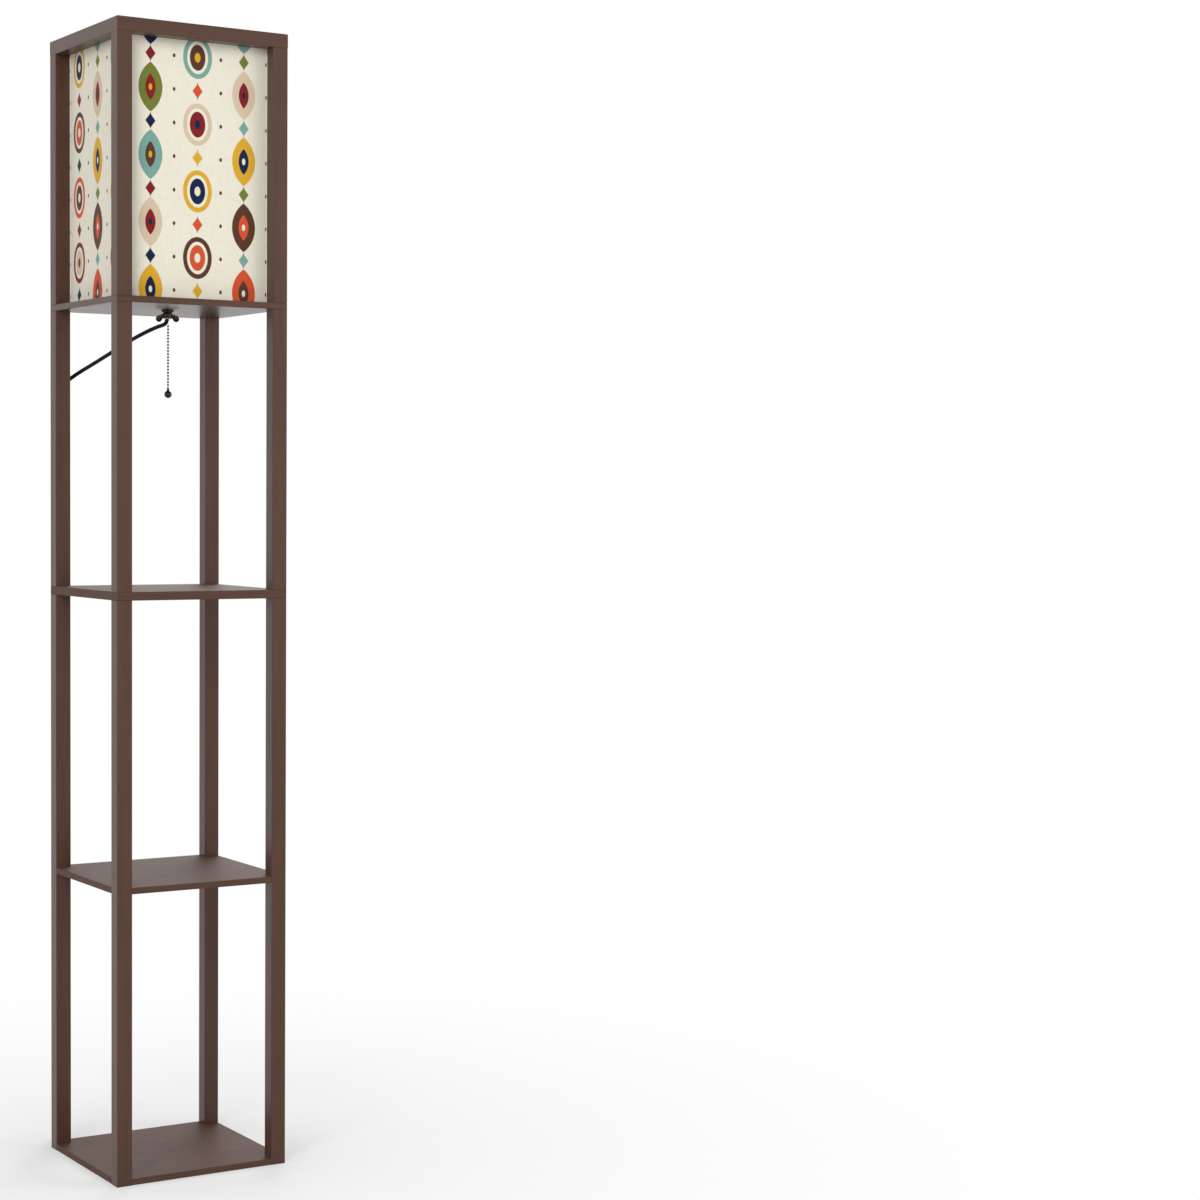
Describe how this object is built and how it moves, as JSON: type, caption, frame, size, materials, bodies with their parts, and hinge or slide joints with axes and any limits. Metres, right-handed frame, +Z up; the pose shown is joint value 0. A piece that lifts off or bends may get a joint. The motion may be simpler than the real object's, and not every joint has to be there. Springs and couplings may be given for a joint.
{
  "type": "shelf floor lamp",
  "caption": "Tall square floor lamp with open shelves between slim wooden posts and a fabric box shade at the top, switched by a pull chain.",
  "frame": {"origin": "centre of the base, on the floor", "axes": "+Z up, -Y towards the front, +X to the right seen from the front"},
  "size_m": [0.254, 0.3053, 1.6],
  "materials": {
    "dark_lacquered_wood": "espresso-brown satin lacquer",
    "raw_wood": "unfinished",
    "zinc_steel": "zinc plated",
    "shade_canvas": "printed canvas on a stiff backing",
    "wire_white": "white powder coat",
    "dark_nickel": "dark nickel plate",
    "holder_brass": "plain",
    "liner_fibre": "fibre board",
    "black_phenolic": "moulded",
    "bulb_glass": "clear",
    "bulb_stem_glass": "clear",
    "bulb_metal": "plain",
    "filament_coating": "matt",
    "cord_black": "soft satin",
    "clip_black": "moulded"
  },
  "bodies": {
    "frame": {"bottom_board": "dark_lacquered_wood", "centre_contact": "holder_brass", "cord_clips": "clip_black", "cord_hank": "cord_black", "hank_tie": "clip_black", "inner_wires": "cord_black", "lamp_plate": "dark_lacquered_wood", "lamp_plate_studs": "zinc_steel", "lock_nut": "zinc_steel", "lower_post_back_left": "dark_lacquered_wood", "lower_post_back_right": "dark_lacquered_wood", "lower_post_front_left": "dark_lacquered_wood", "lower_post_front_right": "dark_lacquered_wood", "lower_shelf": "dark_lacquered_wood", "middle_shelf": "dark_lacquered_wood", "middle_shelf_studs": "zinc_steel", "plate_washer": "zinc_steel", "plug_blades": "holder_brass", "plug_body": "cord_black", "power_cord": "cord_black", "screw_shell": "holder_brass", "shade_bottom_wire": "wire_white", "shade_panel_back": "shade_canvas", "shade_panel_front": "shade_canvas", "shade_panel_left": "shade_canvas", "shade_panel_right": "shade_canvas", "shade_post_back_left": "dark_lacquered_wood", "shade_post_back_right": "dark_lacquered_wood", "shade_post_front_left": "dark_lacquered_wood", "shade_post_front_right": "dark_lacquered_wood", "shade_top_wire": "wire_white", "shelf_pins": "raw_wood", "socket_cap": "holder_brass", "socket_liner": "liner_fibre", "socket_shell": "holder_brass", "switch_block": "black_phenolic", "terminal_screws": "holder_brass", "threaded_nipple": "zinc_steel", "top_rail_back": "dark_lacquered_wood", "top_rail_dowels": "raw_wood", "top_rail_front": "dark_lacquered_wood", "top_rail_left": "dark_lacquered_wood", "top_rail_right": "dark_lacquered_wood", "upper_post_back_left": "dark_lacquered_wood", "upper_post_back_right": "dark_lacquered_wood", "upper_post_front_left": "dark_lacquered_wood", "upper_post_front_right": "dark_lacquered_wood"},
    "clamp": {"clamp_washer": "dark_nickel"},
    "wing_nut_body": {"wing_nut": "dark_nickel"},
    "pull_switch": {"pull_lever": "holder_brass", "chain_top_length": "dark_nickel"},
    "chain_swivel": {"chain_first_bead": "dark_nickel"},
    "hanging_chain": {"pull_chain": "dark_nickel", "chain_ball": "dark_nickel"},
    "bulb": {"bulb_glass": "bulb_glass", "bulb_cap": "bulb_metal", "bulb_insulator": "black_phenolic", "bulb_contact": "bulb_metal", "bulb_stem": "bulb_stem_glass", "bulb_filaments": "filament_coating"}
  },
  "joints": [
    {"name": "clamp_travel", "type": "slide", "parent": "frame", "child": "clamp", "axis": [0, 0, -1], "range_m": [0, 0.001]},
    {"name": "wing_nut_turn", "type": "hinge", "parent": "clamp", "child": "wing_nut_body", "pos_m": [0, 0, 1.2122], "axis": [0, 0, -1], "range_deg": [0, 360.5]},
    {"name": "chain_pull", "type": "slide", "parent": "frame", "child": "pull_switch", "axis": [0, 0, -1], "range_m": [0, 0.008], "stiffness_N_per_m": 300, "springref_m": -0.002},
    {"name": "chain_swing_side", "type": "hinge", "parent": "pull_switch", "child": "chain_swivel", "pos_m": [0, -0.0019, 1.2012], "axis": [0, 1, 0], "range_deg": [-25, 25]},
    {"name": "chain_swing_front", "type": "hinge", "parent": "chain_swivel", "child": "hanging_chain", "pos_m": [0, -0.0019, 1.2012], "axis": [-1, 0, 0], "range_deg": [-15, 25]},
    {"name": "bulb_unscrew", "type": "slide", "parent": "frame", "child": "bulb", "axis": [0, 0, 1], "range_m": [0, 0.026]}
  ],
  "couplings": [
    {"joint": "wing_nut_turn", "follows": "clamp_travel", "rad_per_m": 6283.2}
  ]
}
